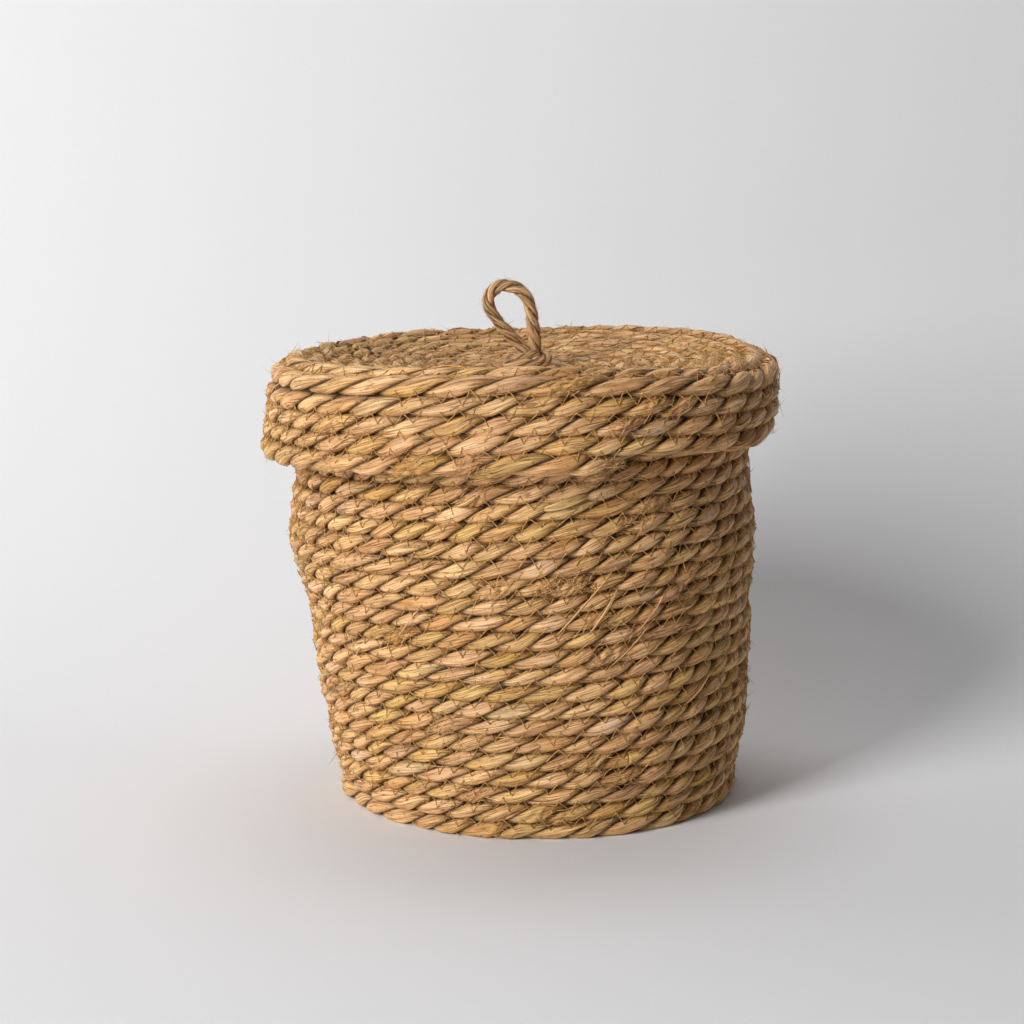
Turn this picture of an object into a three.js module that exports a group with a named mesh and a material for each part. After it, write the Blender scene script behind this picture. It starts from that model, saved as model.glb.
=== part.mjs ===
// Round lidded basket: coils of twisted grass rope, stitched together with thread, with a
// lift-off lid that has a loop of jute cord knotted through its centre.
// Millimetres, +Z up. The origin is on the floor, on the axis of the lid and the rim, and the
// front is -Y. The base sits a little to the right (+X), so the wall leans left as it rises.

import * as THREE from 'three';

// Overall sizes.
const LID_RADIUS = 130;
const LID_TOP_Z = 225;
const LID_EDGE_TUCK = 4.5;          // how far the lid's top course is drawn in
const LID_DISH = 7;                 // how far the lid's top sinks towards its centre
const RIM_Z = 213.75;
const BASE_SHIFT = 7.8;             // the base's centre, to the right of the rim's
const TILT = THREE.MathUtils.degToRad(1.4);   // the rim and the lid dip towards -X

// Outer radius of the wall at the floor, below the middle, at the bulge, at the neck under
// the lid and at the rim, as (height, radius).
const WALL_PROFILE = [[0, 102.5], [42, 108], [80, 111], [135, 118], [158, 114.5], [RIM_Z, 115.5]];

// Rope courses.
const GAP = 0.3;                    // clearance between neighbouring pieces
const BODY_COURSES = 25;
const BODY_ROPE_WIDTH = 9.7;
const SKIRT_COURSES = 5;
const SKIRT_PITCH = 9.6;
const LID_ROPE_WIDTH = 10.4;
const BASE_TURNS = 10;
const BASE_HOLE_RADIUS = 1.2;
const LID_TURNS = 12;
const LID_HOLE_RADIUS = 5.1;
const THREAD_RADIUS = 0.8;
const THREAD_DEPTH = 0.4;           // threads lie this far inside the outer surface

// A coil stays level for most of each turn and steps over to the next course at the back.
const SEGMENTS_PER_TURN = 20;
const JOG_SEGMENTS = 3;
const JOG = JOG_SEGMENTS / SEGMENTS_PER_TURN;
const JOG_CENTRE = Math.PI / 2;

// Cord of the handle, and its knots.
const CORD_RADIUS = 2.85;
const CORD_SIDES = 8;
const STEM_HALF_WIDTH = 4.6;        // two legs of cord, squeezed side by side in the hole
const STEM_HALF_DEPTH = 2.6;
const STEM_SIDES = 12;
const KNOT_TURNS = 1;
const KNOT_STEPS_PER_TURN = 16;
const UPPER_KNOT = { offset: 1.8, halfWidth: 10.4, halfDepth: 6.6 };
const STOPPER_KNOT = { offset: 0, halfWidth: 8, halfDepth: 6.2 };
const LOOP_FOOT_X = 4.75;           // foot of the loop's upright leg
const LOOP_PIVOT_RISE = 3;          // the legs start this far above the knot
const LOOP_STEPS = 24;

// Centreline of the loop seen from the front, from its left leg over the top to its right
// leg, measured from the foot of the right leg at the fold axis.
const LOOP_OUTLINE = [
	[ -12.5, 0 ], [ -18, 6.5 ], [ -22.5, 14.5 ], [ -21.5, 22 ], [ -14.5, 26.5 ],
	[ -6.5, 23.5 ], [ -1.5, 15 ], [ 0, 6.5 ], [ 1, 0 ],
];

const ropeMaterial = ( colour ) => new THREE.MeshStandardMaterial( {
	color: colour, roughness: 0.85, metalness: 0,
} );
const bodyRope = ropeMaterial( 0xb18a50 );
const lidRope = ropeMaterial( 0xb8925a );
const stitchThread = ropeMaterial( 0x96692f );
const juteCord = ropeMaterial( 0x8e6b46 );

const bodyPitch = RIM_Z / BODY_COURSES;
const bodyRopeHeight = bodyPitch - GAP;
const skirtRopeHeight = SKIRT_PITCH - GAP;

// How many courses a coil has moved over after the given number of turns.
function coursesMoved( turn ) {

	const whole = Math.floor( turn );
	const jog = ( turn - whole - ( 1 - JOG ) ) / JOG;
	return whole + THREE.MathUtils.clamp( jog, 0, 1 );

}

function azimuthOf( turn ) {

	return JOG_CENTRE + 2 * Math.PI * ( turn + JOG / 2 );

}

// A coil's centreline. The rope's section stays upright, square to the coil's radius, so
// that neighbouring courses keep the same clearance all the way round.
class CoilPath extends THREE.Curve {

	constructor( place, turns ) {

		super();
		this.place = place;
		this.turns = turns;

	}

	getPoint( share ) {

		const turn = share * this.turns;
		return this.place( coursesMoved( turn ), azimuthOf( turn ) );

	}

	getSpacedPoints( count ) {

		return this.getPoints( count );

	}

	computeFrenetFrames( count ) {

		const azimuths = Array.from( { length: count + 1 }, ( _, i ) => azimuthOf( this.turns * i / count ) );
		return {
			tangents: azimuths.map( ( a ) => new THREE.Vector3( - Math.sin( a ), Math.cos( a ), 0 ) ),
			normals: azimuths.map( ( a ) => new THREE.Vector3( Math.cos( a ), Math.sin( a ), 0 ) ),
			binormals: azimuths.map( () => new THREE.Vector3( 0, 0, - 1 ) ),
		};

	}

}

function polygonSection( halfWidth, halfDepth, sides ) {

	const corners = Array.from( { length: sides }, ( _, i ) => {

		const angle = 2 * Math.PI * i / sides;
		return new THREE.Vector2( halfWidth * Math.cos( angle ), halfDepth * Math.sin( angle ) );

	} );
	return new THREE.Shape( corners );

}

// Six-sided rope section with flat faces above and below.
function ropeSection( width, height ) {

	return polygonSection( width / 2, height / 2 / Math.sin( Math.PI / 3 ), 6 );

}

function named( name, geometry, material ) {

	const mesh = new THREE.Mesh( geometry, material );
	mesh.name = name;
	return mesh;

}

// A rope or thread wound through whole courses. It stops just short of its last jog.
function coil( name, place, courses, section, material ) {

	const turns = courses - JOG;
	const geometry = new THREE.ExtrudeGeometry( section, {
		steps: Math.round( turns * SEGMENTS_PER_TURN ),
		extrudePath: new CoilPath( place, turns ),
		bevelEnabled: false,
	} );
	return named( name, geometry, material );

}

const threadSection = polygonSection( THREAD_RADIUS, THREAD_RADIUS, 3 );

// Basket wall.

function wallRadius( z ) {

	const upper = Math.max( 1, WALL_PROFILE.findIndex( ( [ height ] ) => height >= z ) );
	const [ lowZ, lowRadius ] = WALL_PROFILE[ upper - 1 ];
	const [ highZ, highRadius ] = WALL_PROFILE[ upper ];
	return THREE.MathUtils.mapLinear( z, lowZ, highZ, lowRadius, highRadius );

}

function wallCentreX( z ) {

	const LEAN_CURVE = 1.5;
	return BASE_SHIFT * Math.pow( 1 - z / RIM_Z, LEAN_CURVE );

}

// A point on the wall, the given distance inside its outer surface. The courses tilt more
// and more with height, until they are level with the tilted rim.
function wallPoint( z, azimuth, depth ) {

	const radius = wallRadius( z ) - depth;
	const x = wallCentreX( z ) + radius * Math.cos( azimuth );
	return new THREE.Vector3( x, radius * Math.sin( azimuth ), z + x * Math.tan( TILT ) * z / RIM_Z );

}

function wallCoil() {

	const place = ( course, azimuth ) => wallPoint( bodyPitch * ( course + 0.5 ), azimuth, BODY_ROPE_WIDTH / 2 );
	return coil( 'wall_rope', place, BODY_COURSES, ropeSection( BODY_ROPE_WIDTH, bodyRopeHeight ), bodyRope );

}

// The thread lies in the outer groove between two courses.
function wallStitching() {

	const place = ( course, azimuth ) => wallPoint( bodyPitch * ( course + 1 ), azimuth, THREAD_DEPTH );
	return coil( 'wall_stitching', place, BODY_COURSES - 1, threadSection, stitchThread );

}

// A flat coil between a hole and an outer radius, dished towards its centre.
function discRings( holeRadius, outerRadius, turns, ropeHeight, centreX, dish ) {

	const pitch = ( outerRadius - holeRadius + GAP ) / turns;
	const ropeWidth = pitch - GAP;
	const sink = ( radius ) => dish * ( 1 - Math.pow( radius / outerRadius, 2 ) );
	const pointAt = ( radius, azimuth, z ) => new THREE.Vector3(
		centreX + radius * Math.cos( azimuth ), radius * Math.sin( azimuth ), z - sink( radius ) );
	return {
		section: ropeSection( ropeWidth, ropeHeight ),
		rope: ( z ) => ( course, azimuth ) =>
			pointAt( holeRadius + ropeWidth / 2 + pitch * course, azimuth, z ),
		thread: ( z ) => ( course, azimuth ) =>
			pointAt( holeRadius + pitch * ( course + 1 ) - GAP / 2, azimuth, z ),
	};

}

const THREAD_HEIGHT = 0.3;          // threads sit this share of the rope's height above its middle

// Basket base.

const baseOuterRadius = wallRadius( bodyPitch / 2 ) - BODY_ROPE_WIDTH - 2 * GAP;
const baseRings = discRings( BASE_HOLE_RADIUS, baseOuterRadius, BASE_TURNS, bodyRopeHeight, BASE_SHIFT, 0 );

function baseCoil() {

	return coil( 'base_rope', baseRings.rope( bodyRopeHeight / 2 ), BASE_TURNS, baseRings.section, bodyRope );

}

function baseStitching() {

	const z = bodyRopeHeight * ( 0.5 + THREAD_HEIGHT );
	return coil( 'base_stitching', baseRings.thread( z ), BASE_TURNS - 1, threadSection, stitchThread );

}

// Lid, in its own tilted frame: z is measured from the rim.

const lidTop = LID_TOP_Z - RIM_Z;

function skirtPoint( level, azimuth, depth ) {

	const TUCK_COURSES = 0.7;
	const radius = LID_RADIUS - LID_EDGE_TUCK * Math.exp( - level / TUCK_COURSES ) - depth;
	const z = lidTop - SKIRT_PITCH * ( level + 0.5 );
	return new THREE.Vector3( radius * Math.cos( azimuth ), radius * Math.sin( azimuth ), z );

}

function lidSkirtCoil() {

	const place = ( course, azimuth ) => skirtPoint( course, azimuth, LID_ROPE_WIDTH / 2 );
	return coil( 'lid_skirt_rope', place, SKIRT_COURSES, ropeSection( LID_ROPE_WIDTH, skirtRopeHeight ), lidRope );

}

function lidSkirtStitching() {

	const place = ( course, azimuth ) => skirtPoint( course + 0.5, azimuth, THREAD_DEPTH );
	return coil( 'lid_skirt_stitching', place, SKIRT_COURSES - 1, threadSection, stitchThread );

}

const lidDiscRadius = LID_RADIUS - LID_EDGE_TUCK - LID_ROPE_WIDTH - GAP;
const lidDiscZ = GAP + skirtRopeHeight / 2 + 1;
const lidRings = discRings( LID_HOLE_RADIUS, lidDiscRadius, LID_TURNS, skirtRopeHeight, 0, LID_DISH );

function lidTopCoil() {

	return coil( 'lid_top_rope', lidRings.rope( lidDiscZ ), LID_TURNS, lidRings.section, lidRope );

}

function lidTopStitching() {

	const z = lidDiscZ + skirtRopeHeight * THREAD_HEIGHT;
	return coil( 'lid_top_stitching', lidRings.thread( z ), LID_TURNS - 1, threadSection, stitchThread );

}

// Handle, in the lid's frame.

const lidCentreTop = lidDiscZ - LID_DISH + skirtRopeHeight / 2;
const lidCentreBottom = lidCentreTop - skirtRopeHeight;
const knotPitch = 2 * CORD_RADIUS + GAP;
const knotHeight = 2 * CORD_RADIUS + knotPitch * KNOT_TURNS;
const upperKnotZ = lidCentreTop + GAP;
const stopperKnotZ = lidCentreBottom - GAP - knotHeight;
const cordSection = polygonSection( CORD_RADIUS, CORD_RADIUS, CORD_SIDES );

// A knot is the cord wound round the stem.
function knot( name, size, bottomZ ) {

	const count = KNOT_TURNS * KNOT_STEPS_PER_TURN;
	const points = Array.from( { length: count + 1 }, ( _, i ) => {

		const angle = 2 * Math.PI * i / KNOT_STEPS_PER_TURN;
		return new THREE.Vector3(
			size.offset + size.halfWidth * Math.cos( angle ),
			size.halfDepth * Math.sin( angle ),
			bottomZ + CORD_RADIUS + knotPitch * KNOT_TURNS * i / count,
		);

	} );
	const geometry = new THREE.ExtrudeGeometry( cordSection, {
		steps: count, extrudePath: new THREE.CatmullRomCurve3( points ), bevelEnabled: false,
	} );
	return named( name, geometry, juteCord );

}

// The two legs of the cord that pass through the hole in the lid, into both knots.
function cordStem() {

	const bottom = stopperKnotZ + CORD_RADIUS;
	const top = upperKnotZ + knotHeight - CORD_RADIUS;
	const geometry = new THREE.ExtrudeGeometry( polygonSection( STEM_HALF_WIDTH, STEM_HALF_DEPTH, STEM_SIDES ), {
		depth: top - bottom, bevelEnabled: false,
	} );
	const stem = named( 'cord_stem', geometry, juteCord );
	stem.position.z = bottom;
	return stem;

}

function handleLoop() {

	const points = LOOP_OUTLINE.map( ( [ x, z ] ) => new THREE.Vector3( x, 0, z ) );
	const geometry = new THREE.ExtrudeGeometry( cordSection, {
		steps: LOOP_STEPS, extrudePath: new THREE.CatmullRomCurve3( points ), bevelEnabled: false,
	} );
	const loop = named( 'handle_loop', geometry, juteCord );
	loop.position.set( LOOP_FOOT_X, 0, upperKnotZ + knotHeight + LOOP_PIVOT_RISE );
	return loop;

}

const basket = new THREE.Group();
basket.add( baseCoil(), baseStitching(), wallCoil(), wallStitching() );

const lid = new THREE.Group();
lid.position.z = RIM_Z;
lid.rotation.y = - TILT;
lid.add( lidTopCoil(), lidTopStitching(), lidSkirtCoil(), lidSkirtStitching() );
lid.add( knot( 'upper_knot', UPPER_KNOT, upperKnotZ ), cordStem(), knot( 'stopper_knot', STOPPER_KNOT, stopperKnotZ ) );
lid.add( handleLoop() );

const liddedBasket = new THREE.Group();
liddedBasket.add( basket, lid );

export default liddedBasket;
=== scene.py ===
"""Lidded basket of coiled grass rope, sewn in zigzag, with a jute loop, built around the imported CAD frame."""
import math
from collections import namedtuple

import bpy
import numpy as np
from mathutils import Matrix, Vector


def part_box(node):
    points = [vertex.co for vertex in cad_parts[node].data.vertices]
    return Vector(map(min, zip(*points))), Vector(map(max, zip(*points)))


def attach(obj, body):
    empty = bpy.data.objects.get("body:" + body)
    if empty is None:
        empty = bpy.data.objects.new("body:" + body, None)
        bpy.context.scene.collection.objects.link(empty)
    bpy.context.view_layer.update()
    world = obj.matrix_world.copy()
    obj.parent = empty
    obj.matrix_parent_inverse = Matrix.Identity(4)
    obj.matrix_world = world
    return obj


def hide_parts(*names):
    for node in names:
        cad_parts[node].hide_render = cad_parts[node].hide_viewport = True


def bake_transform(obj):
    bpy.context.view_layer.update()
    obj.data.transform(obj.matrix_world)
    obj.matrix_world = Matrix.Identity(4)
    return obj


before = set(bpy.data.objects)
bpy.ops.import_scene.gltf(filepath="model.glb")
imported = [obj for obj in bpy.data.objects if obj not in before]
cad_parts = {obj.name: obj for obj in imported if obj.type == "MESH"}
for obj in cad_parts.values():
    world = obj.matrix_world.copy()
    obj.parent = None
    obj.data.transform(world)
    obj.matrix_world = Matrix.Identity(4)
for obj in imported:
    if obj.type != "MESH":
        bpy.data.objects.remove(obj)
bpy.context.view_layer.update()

MM = 0.001
TURN = 2 * math.pi

# -------- sizes read from the frame
base_low, base_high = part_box("base_rope")
wall_low, wall_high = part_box("wall_rope")
skirt_low, skirt_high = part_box("lid_skirt_rope")

LID_RADIUS = (skirt_high.y - skirt_low.y) / 2
RIM_LEAN = 2.7 * MM  # the rim is tilted, so its top edge stands above its middle
RIM_Z = wall_high.z - RIM_LEAN
BASE_X = (base_low.x + base_high.x) / 2
TILT = math.radians(1.4)  # rim and lid dip towards -X
BULGE_RADIUS = (wall_high.y - wall_low.y) / 2

WALL_COURSES = 25
SKIRT_COURSES = 5
BASE_TURNS = 10
DISC_TURNS = 12
WALL_PITCH = RIM_Z / WALL_COURSES

# wall's outer radius at the floor, below the middle, at the bulge, at the neck and at the rim
PROFILE_Z = np.array([0.0, 0.2, 0.37, 0.63, 0.74, 1.0]) * RIM_Z
PROFILE_R = np.array([0.870, 0.915, 0.941, 1.0, 0.970, 0.979]) * BULGE_RADIUS


# -------- smooth random variation
def wander(x, spacing, seed):
    """Smooth random curve between -1 and 1, with a new value every spacing."""
    u = np.asarray(x) / spacing
    low = np.floor(u).astype(np.int64)
    f = u - low
    f = f * f * (3 - 2 * f)
    offset = low.min()
    values = np.random.default_rng(seed).uniform(-1, 1, int(low.max() - offset) + 2)
    return values[low - offset] * (1 - f) + values[low - offset + 1] * f


def waves(azimuth, height, seed, count=7, around=6, up=70.0):
    """Smooth random field on a drum, between about -1 and 1."""
    rng = np.random.default_rng(seed)
    total = np.zeros(np.broadcast(azimuth, height).shape)
    for _ in range(count):
        m = rng.integers(1, around + 1)
        n = rng.uniform(-up, up)
        total += rng.uniform(0.5, 1.0) * np.cos(m * azimuth + n * height + rng.uniform(0, TURN))
    return total / math.sqrt(count)


def smoothstep(x):
    x = np.clip(x, 0, 1)
    return x * x * (3 - 2 * x)


def drift(amount_and_length, run, seed):
    """Smooth random variation along a rope: by how much, and over what length."""
    amount, length = amount_and_length
    return amount * wander(run, length, seed)


def distances(points):
    """How far along its line each point is."""
    steps = np.linalg.norm(np.diff(points, axis=-2), axis=-1)
    return np.concatenate([np.zeros_like(steps[..., :1]), np.cumsum(steps, -1)], -1)


def unit(v):
    return v / np.linalg.norm(v, axis=-1, keepdims=True)


def polar(azimuth, radius=1.0, z=0.0):
    """Places round the vertical axis, or level directions away from it."""
    return np.stack(np.broadcast_arrays(radius * np.cos(azimuth), radius * np.sin(azimuth), z), -1)


def between(x, known_x, points):
    """Points interpolated at x."""
    return np.stack([np.interp(x, known_x, points[:, k]) for k in range(3)], -1)


# -------- mesh from rings of points
def added(name, data):
    """A new object in the scene."""
    thing = bpy.data.objects.new(name, data)
    bpy.context.scene.collection.objects.link(thing)
    return thing


def tubes(name, rings, colours=None, fibre=None):
    """Capped tubes as one mesh. rings is (tube, ring, point, xyz); colours and fibre match its points.
    What would reach below the floor is pressed flat on it."""
    count, n, m, _ = rings.shape
    rings[..., 2] = np.maximum(rings[..., 2], 0)
    mesh = bpy.data.meshes.new(name)
    mesh.vertices.add(count * n * m)
    mesh.vertices.foreach_set("co", rings.astype(np.float32).ravel())
    start = np.arange(count)[:, None, None] * (n * m)
    i = np.arange(n - 1)[None, :, None] * m
    j = np.arange(m)[None, None, :]
    k = (j + 1) % m
    quads = np.stack([start + i + j, start + i + m + j, start + i + m + k, start + i + k], -1).reshape(-1, 4)
    ends = np.arange(count)[:, None] * (n * m)
    first = ends + np.arange(m)[None, :]
    last = ends + (n - 1) * m + np.arange(m)[None, ::-1]
    loops = np.concatenate([quads.ravel(), first.ravel(), last.ravel()])
    sizes = np.concatenate([np.full(len(quads), 4), np.full(2 * count, m)])
    mesh.loops.add(len(loops))
    mesh.loops.foreach_set("vertex_index", loops.astype(np.int32))
    mesh.polygons.add(len(sizes))
    mesh.polygons.foreach_set("loop_start", np.concatenate([[0], np.cumsum(sizes)[:-1]]).astype(np.int32))
    mesh.polygons.foreach_set("use_smooth", np.ones(len(sizes), bool))
    mesh.update(calc_edges=True)
    if colours is not None:
        tint = mesh.attributes.new("tint", "FLOAT_COLOR", "POINT")
        rgba = np.concatenate([colours.reshape(-1, 3), np.ones((count * n * m, 1))], 1)
        tint.data.foreach_set("color", rgba.astype(np.float32).ravel())
    if fibre is not None:
        grain = mesh.attributes.new("grain", "FLOAT_VECTOR", "POINT")
        grain.data.foreach_set("vector", fibre.astype(np.float32).ravel())
    return added(name, mesh)


# -------- where each coil of rope runs
JOG = 0.25  # share of a turn in which a level course steps to the next
JOG_MEAN = 0.5 - JOG / 2
JOG_CENTRE = math.pi / 2  # at the back


def course_of(turn, levelled):
    """Courses passed after so many turns: in jogs at the back where levelled is 1, else evenly."""
    whole = np.floor(turn)
    share = turn - whole
    stepped = smoothstep((share - (1 - JOG)) / JOG) - share
    return turn - JOG_MEAN + levelled * (stepped + JOG_MEAN)


def azimuth_of(turn):
    return JOG_CENTRE + TURN * (turn + JOG / 2)


def wall_radius(z):
    """Outer radius, with the outline's corners rounded off."""
    spread = np.linspace(-9 * MM, 9 * MM, 7)
    return np.mean([np.interp(z + d, PROFILE_Z, PROFILE_R) for d in spread], axis=0)


# places where the wall swells out: azimuth, from and to which height, by how much
SWELLS = ((math.pi, 100 * MM, 178 * MM, 5.0 * MM), (0.0, 8 * MM, 105 * MM, 3.0 * MM))
SWELL_FADE = 25 * MM


def swell(z, azimuth):
    total = 0.0
    for middle, low, high, amount in SWELLS:
        fade = smoothstep((z - low) / SWELL_FADE) * smoothstep((high - z) / SWELL_FADE)
        total = total + amount * fade * np.maximum(np.cos(azimuth - middle), 0) ** 2
    return total


WALL_WAVE = 1.1 * MM  # how unevenly round the wall is
WALL_SWAY = 0.9 * MM  # how unevenly its courses rise and fall
LEAN_SHAPE = 1.5  # higher leans more of the wall's way over near the floor
WALL_EVEN = 30 * MM  # it evens out over this height at the floor and at the rim


def wall_point(z, azimuth, depth):
    """A place on the wall, so deep inside its outer surface."""
    from_floor, from_rim = smoothstep(z / WALL_EVEN), smoothstep((RIM_Z - z) / WALL_EVEN)
    radius = wall_radius(z) - depth + swell(z, azimuth)
    radius = radius + WALL_WAVE * waves(azimuth, z, 11) * from_floor
    x = BASE_X * np.clip(1 - z / RIM_Z, 0, 1) ** LEAN_SHAPE + radius * np.cos(azimuth)
    lift = x * math.tan(TILT) * z / RIM_Z
    sway = WALL_SWAY * waves(azimuth, z, 12, up=45.0) * from_floor * from_rim
    return np.stack([x, radius * np.sin(azimuth), z + lift + sway], -1)


SQUEEZE, FLAT_SQUEEZE = 1.17, 1.12  # ropes are this much wider than their share of the pitch
ROPE_WIDE = 5.0 * MM  # wall rope's half width, square to the wall
WALL_TALL = WALL_PITCH / 2 * SQUEEZE


def wall_path(turn):
    """Centre of the wall's rope and the direction it shows to the outside."""
    levelled = 1 - 0.9 * smoothstep((turn - 1) / 7) * smoothstep((WALL_COURSES - 1 - turn) / 7)
    course = np.minimum(course_of(turn, levelled), WALL_COURSES - 1)
    azimuth = azimuth_of(turn)
    centre = wall_point(WALL_PITCH * (course + 0.5), azimuth, ROPE_WIDE)
    return centre, polar(azimuth)


BASE_TALL = WALL_PITCH / 2
BASE_START = 4.2 * MM
base_end_radius = wall_radius(np.array([WALL_PITCH / 2]))[0] - ROPE_WIDE
BASE_PITCH = (base_end_radius - BASE_START) / BASE_TURNS
UPWARDS = np.array([0, 0, 1.0])


def turned_over(azimuth, over):
    """Directions that turn from facing up (over 0) to facing outwards (over 1)."""
    turned = (over * math.pi / 2)[..., None]
    return unit(UPWARDS * np.cos(turned) + polar(azimuth) * np.sin(turned))


def base_path(turn):
    """The flat base, whose last jog leads into the wall's first course."""
    levelled = smoothstep((turn - BASE_TURNS + 4) / 3)
    course = course_of(turn, levelled)
    over = np.clip(course - (BASE_TURNS - 1), 0, 1)
    azimuth = azimuth_of(turn)
    radius = BASE_START + BASE_PITCH * np.maximum(course, 0)
    centre = polar(azimuth, radius, BASE_TALL) + np.array([BASE_X, 0, 0])
    return centre, turned_over(azimuth, over), over


def joined(flat_path, side_path, turns):
    """The path of a flat coil and then of a standing one, as centre, facing and how far turned over."""
    def path(turn):
        flat = turn < turns
        centre, facing, over = flat_path(np.minimum(turn, turns))
        side_centre, side_facing = side_path(np.maximum(turn - turns, 0))
        return (np.where(flat[:, None], centre, side_centre), np.where(flat[:, None], facing, side_facing),
                np.where(flat, over, 1.0))
    return path


def lid_frame(points):
    """From the lid's own level frame, with z from the rim, to the tilted lid."""
    c, s = math.cos(TILT), math.sin(TILT)
    x, y, z = points[..., 0], points[..., 1], points[..., 2]
    return np.stack([x * c - z * s, y, x * s + z * c], -1)


LID_TOP = 11.25 * MM  # top of the lid's edge above the rim
SADDLE = 3.0 * MM  # the lid's front and back stand this much higher than its sides
SAG = 5.0 * MM  # and its edge sags towards the front right
SAG_AZIMUTH = math.radians(-38)
NOD = 0.007  # the lid also sits a little lower at the front
SKIRT_RISE = 8.75 * MM  # from one skirt course to the next
SKIRT_WIDE = 5.3 * MM
SKIRT_TALL = SKIRT_RISE / 2 * SQUEEZE
SKIRT_TOP = LID_TOP - 8.85 * MM  # centre of the skirt's first course
SKIRT_RADIUS = LID_RADIUS - SKIRT_WIDE
SKIRT_FLARE = 4.0 * MM  # how far the skirt's lower edge stands out at the left
SKIRT_TUCK = 6.0 * MM  # and is drawn in at the right
SKIRT_END = SKIRT_COURSES - 1 + 0.43  # the skirt's last course stops short, at the front right
SKIRT_WAVE, SKIRT_SWAY = 1.0 * MM, 0.7 * MM
EDGE_TUCK = 1.2 * MM  # how far the skirt's first course is drawn in
DISH = 9.5 * MM  # how deep the lid's top is in the middle
HOLE_RADIUS = 5.6 * MM


def lid_point(points):
    """Places in the lid's own frame as places in the scene."""
    centre = lid_frame(points) + np.array([0, 0, RIM_Z])
    centre[..., 2] += NOD * points[..., 1]
    return centre


def edge_height(azimuth, saddle=SADDLE):
    """How far the lid's edge stands above a level one."""
    return saddle * np.sin(azimuth) ** 2 - SAG * np.maximum(np.cos(azimuth - SAG_AZIMUTH), 0) ** 4


def edge_wave(azimuth, below):
    """How unevenly round the skirt is, so far below its top."""
    return SKIRT_WAVE * waves(azimuth, below, 21, around=4)


def edge_sway(azimuth, below):
    """How unevenly its courses rise and fall."""
    return SKIRT_SWAY * waves(azimuth, below, 22, around=5, up=20.0)


def skirt_path(turn):
    """The hanging part of the lid, flared a little at the lower left and tucked in at the right."""
    course = np.minimum(course_of(turn, 1.0), SKIRT_COURSES - 1)
    azimuth = azimuth_of(turn)
    radius = SKIRT_RADIUS - EDGE_TUCK * np.exp(-course / 0.7)
    radius = radius + edge_wave(azimuth, course * SKIRT_RISE)
    depth = course / (SKIRT_COURSES - 1)
    radius = radius + SKIRT_FLARE * depth * np.maximum(-np.cos(azimuth), 0) ** 2
    radius = radius - SKIRT_TUCK * depth ** 4 * np.maximum(np.cos(azimuth), 0) ** 2
    z = SKIRT_TOP - SKIRT_RISE * course + edge_sway(azimuth, course * SKIRT_RISE)
    z = z + edge_height(azimuth)
    return lid_point(polar(azimuth, radius, z)), lid_frame(polar(azimuth))


DISC_TALL = 4.8 * MM  # half the rope's height where it lies flat
DISC_EDGE = SKIRT_RADIUS - EDGE_TUCK - 7.3 * MM  # radius of its last course
DISC_EDGE_Z = LID_TOP - DISC_TALL
DISC_START = HOLE_RADIUS + 6.0 * MM  # and of its first
DISC_PITCH = (DISC_EDGE - DISC_START) / (DISC_TURNS - 1)
DISC_SWAY = 0.7 * MM


def disc_path(turn):
    """The lid's dished top, whose last jog leads over the edge into the skirt's first course."""
    levelled = smoothstep((turn - DISC_TURNS + 4) / 3)
    course = np.maximum(course_of(turn, levelled), 0)
    azimuth = azimuth_of(turn)
    over = np.maximum(course - (DISC_TURNS - 1), 0)
    radius = DISC_START + DISC_PITCH * np.minimum(course, DISC_TURNS - 1)
    share = radius / DISC_EDGE
    z = DISC_EDGE_Z - DISH * (1 - share ** 2.2) + over * (SKIRT_TOP - DISC_EDGE_Z)
    near_edge = share ** 6
    sway = DISC_SWAY * waves(azimuth, radius, 23, around=5)
    z = z + sway * (1 - near_edge) + edge_sway(azimuth, 0) * near_edge
    z = z + share ** 2 * edge_height(azimuth, SADDLE * (0.85 + 0.15 * over))
    radius = radius + over * (SKIRT_RADIUS - EDGE_TUCK - DISC_EDGE) + edge_wave(azimuth, 0) * near_edge
    return lid_point(polar(azimuth, radius, z)), lid_frame(turned_over(azimuth, over)), over


# -------- colours of the fibres
# linear colour of the dry leaves, and the directions in which it drifts
TAN = np.array([0.86, 0.50, 0.21])
PALE = np.array([0.17, 0.14, 0.085])
GREEN = np.array([-0.055, 0.012, -0.06])
RUST = np.array([-0.05, -0.07, -0.07])
GREY = np.array([-0.14, -0.04, 0.05])
GRASS = dict(base=TAN, pale=PALE, green=GREEN, rust=RUST, grey=GREY)
JUTE = dict(base=np.array([0.66, 0.41, 0.205]), pale=np.array([0.20, 0.16, 0.10]), green=GREEN * 0.2,
            rust=RUST * 0.5, grey=GREY * 0.3)
DRIFTS = (("pale", 24 * MM, 0.6), ("green", 50 * MM, 0.7), ("rust", 36 * MM, 0.7), ("grey", 45 * MM, 0.8))
LEAF = 0.7  # a leaf's width, where a strand's is 2
LEAVES = 5
SPLICE_TONE = np.array([0.7, 1.1, 1.5])  # how strongly a splice darkens red, green and blue
CROWN_SHEEN = np.array([0.0, 0.03, 0.12])  # painted sheen: how much paler red, green and blue are painted on a strand's crown, and how much deeper towards its creases as painted shade


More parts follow.
